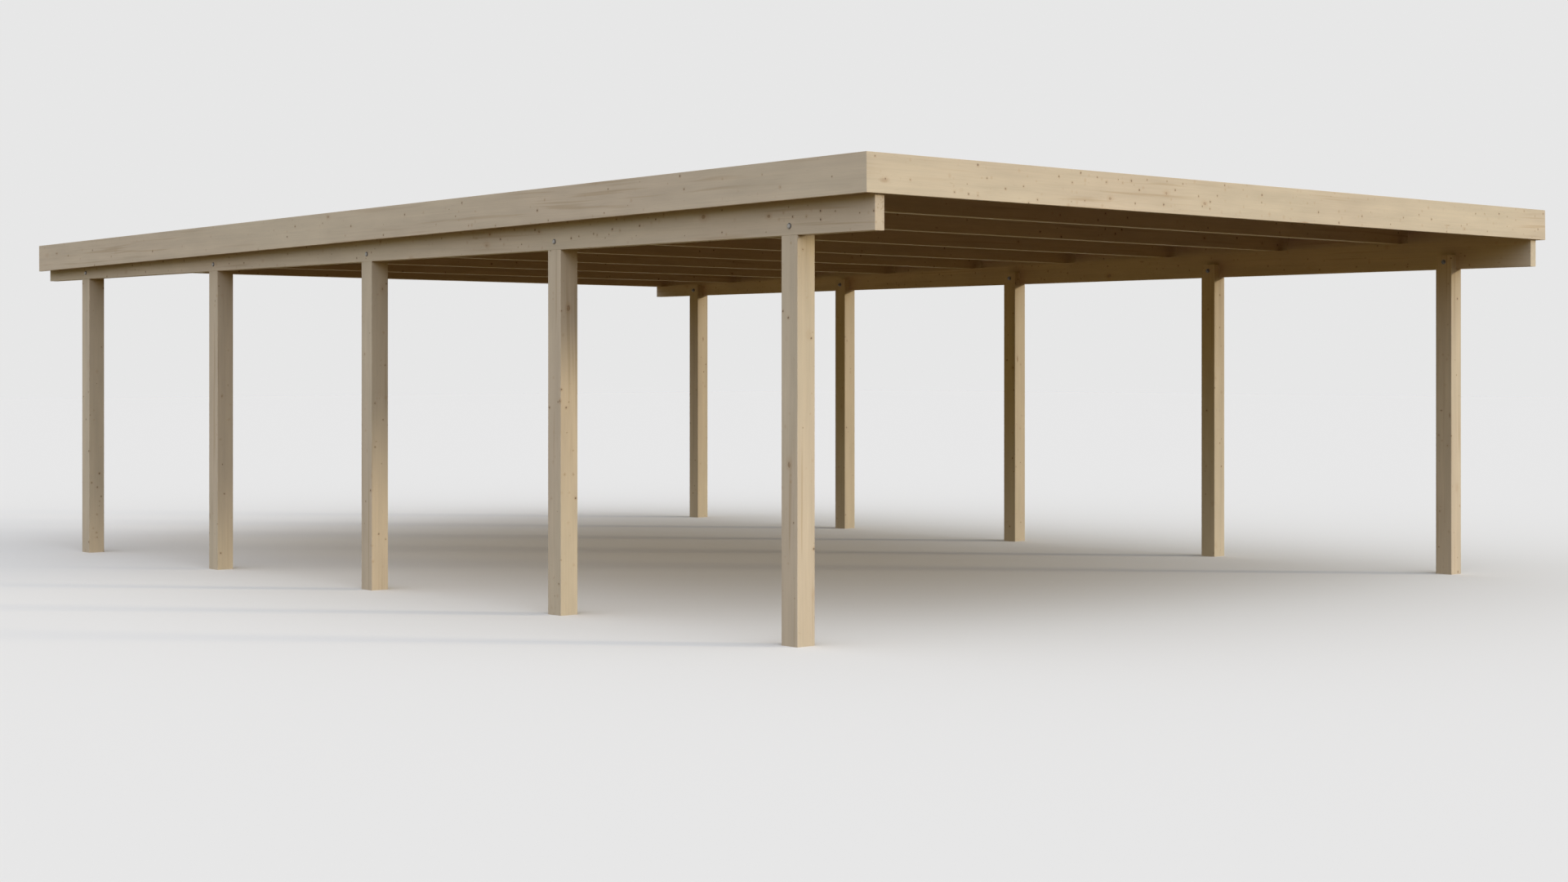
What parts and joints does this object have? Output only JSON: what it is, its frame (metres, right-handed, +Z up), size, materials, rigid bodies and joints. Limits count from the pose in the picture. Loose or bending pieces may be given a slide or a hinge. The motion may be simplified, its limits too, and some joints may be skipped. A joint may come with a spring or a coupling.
{
  "type": "timber carport",
  "caption": "Open double carport of planed spruce: square posts notched for tapered beams, cross rafters and a flat roof behind fascia boards.",
  "frame": {"origin": "on the ground under the middle of the roof", "axes": "+Z up; +Y along the roof from the front board to the rear, the way the roof falls; +X across the width"},
  "size_m": [6.02, 8.8816, 2.3512],
  "materials": {
    "post_timber": "planed spruce, untreated, fine grain and pin knots",
    "beam_timber": "planed spruce, untreated, grain along the beam",
    "rafter_timber": "planed spruce, untreated",
    "fascia_timber": "planed spruce board, untreated",
    "deck_timber": "tongued and grooved spruce boards",
    "membrane": "matt rubber roofing sheet",
    "bolt_steel": "dull zinc-plated coach bolts and nuts"
  },
  "bodies": {
    "root": {"post_left_1": "post_timber", "post_left_2": "post_timber", "post_left_3": "post_timber", "post_left_4": "post_timber", "post_left_5": "post_timber", "post_right_1": "post_timber", "post_right_2": "post_timber", "post_right_3": "post_timber", "post_right_4": "post_timber", "post_right_5": "post_timber", "beam_left": "beam_timber", "beam_right": "beam_timber", "rafter_01": "rafter_timber", "rafter_02": "rafter_timber", "rafter_03": "rafter_timber", "rafter_04": "rafter_timber", "rafter_05": "rafter_timber", "rafter_06": "rafter_timber", "rafter_07": "rafter_timber", "rafter_08": "rafter_timber", "rafter_09": "rafter_timber", "rafter_10": "rafter_timber", "fascia_front": "fascia_timber", "fascia_left": "fascia_timber", "fascia_right": "fascia_timber", "fascia_rear": "fascia_timber", "roof_deck": "deck_timber", "roof_membrane": "membrane"}
  },
  "joints": []
}
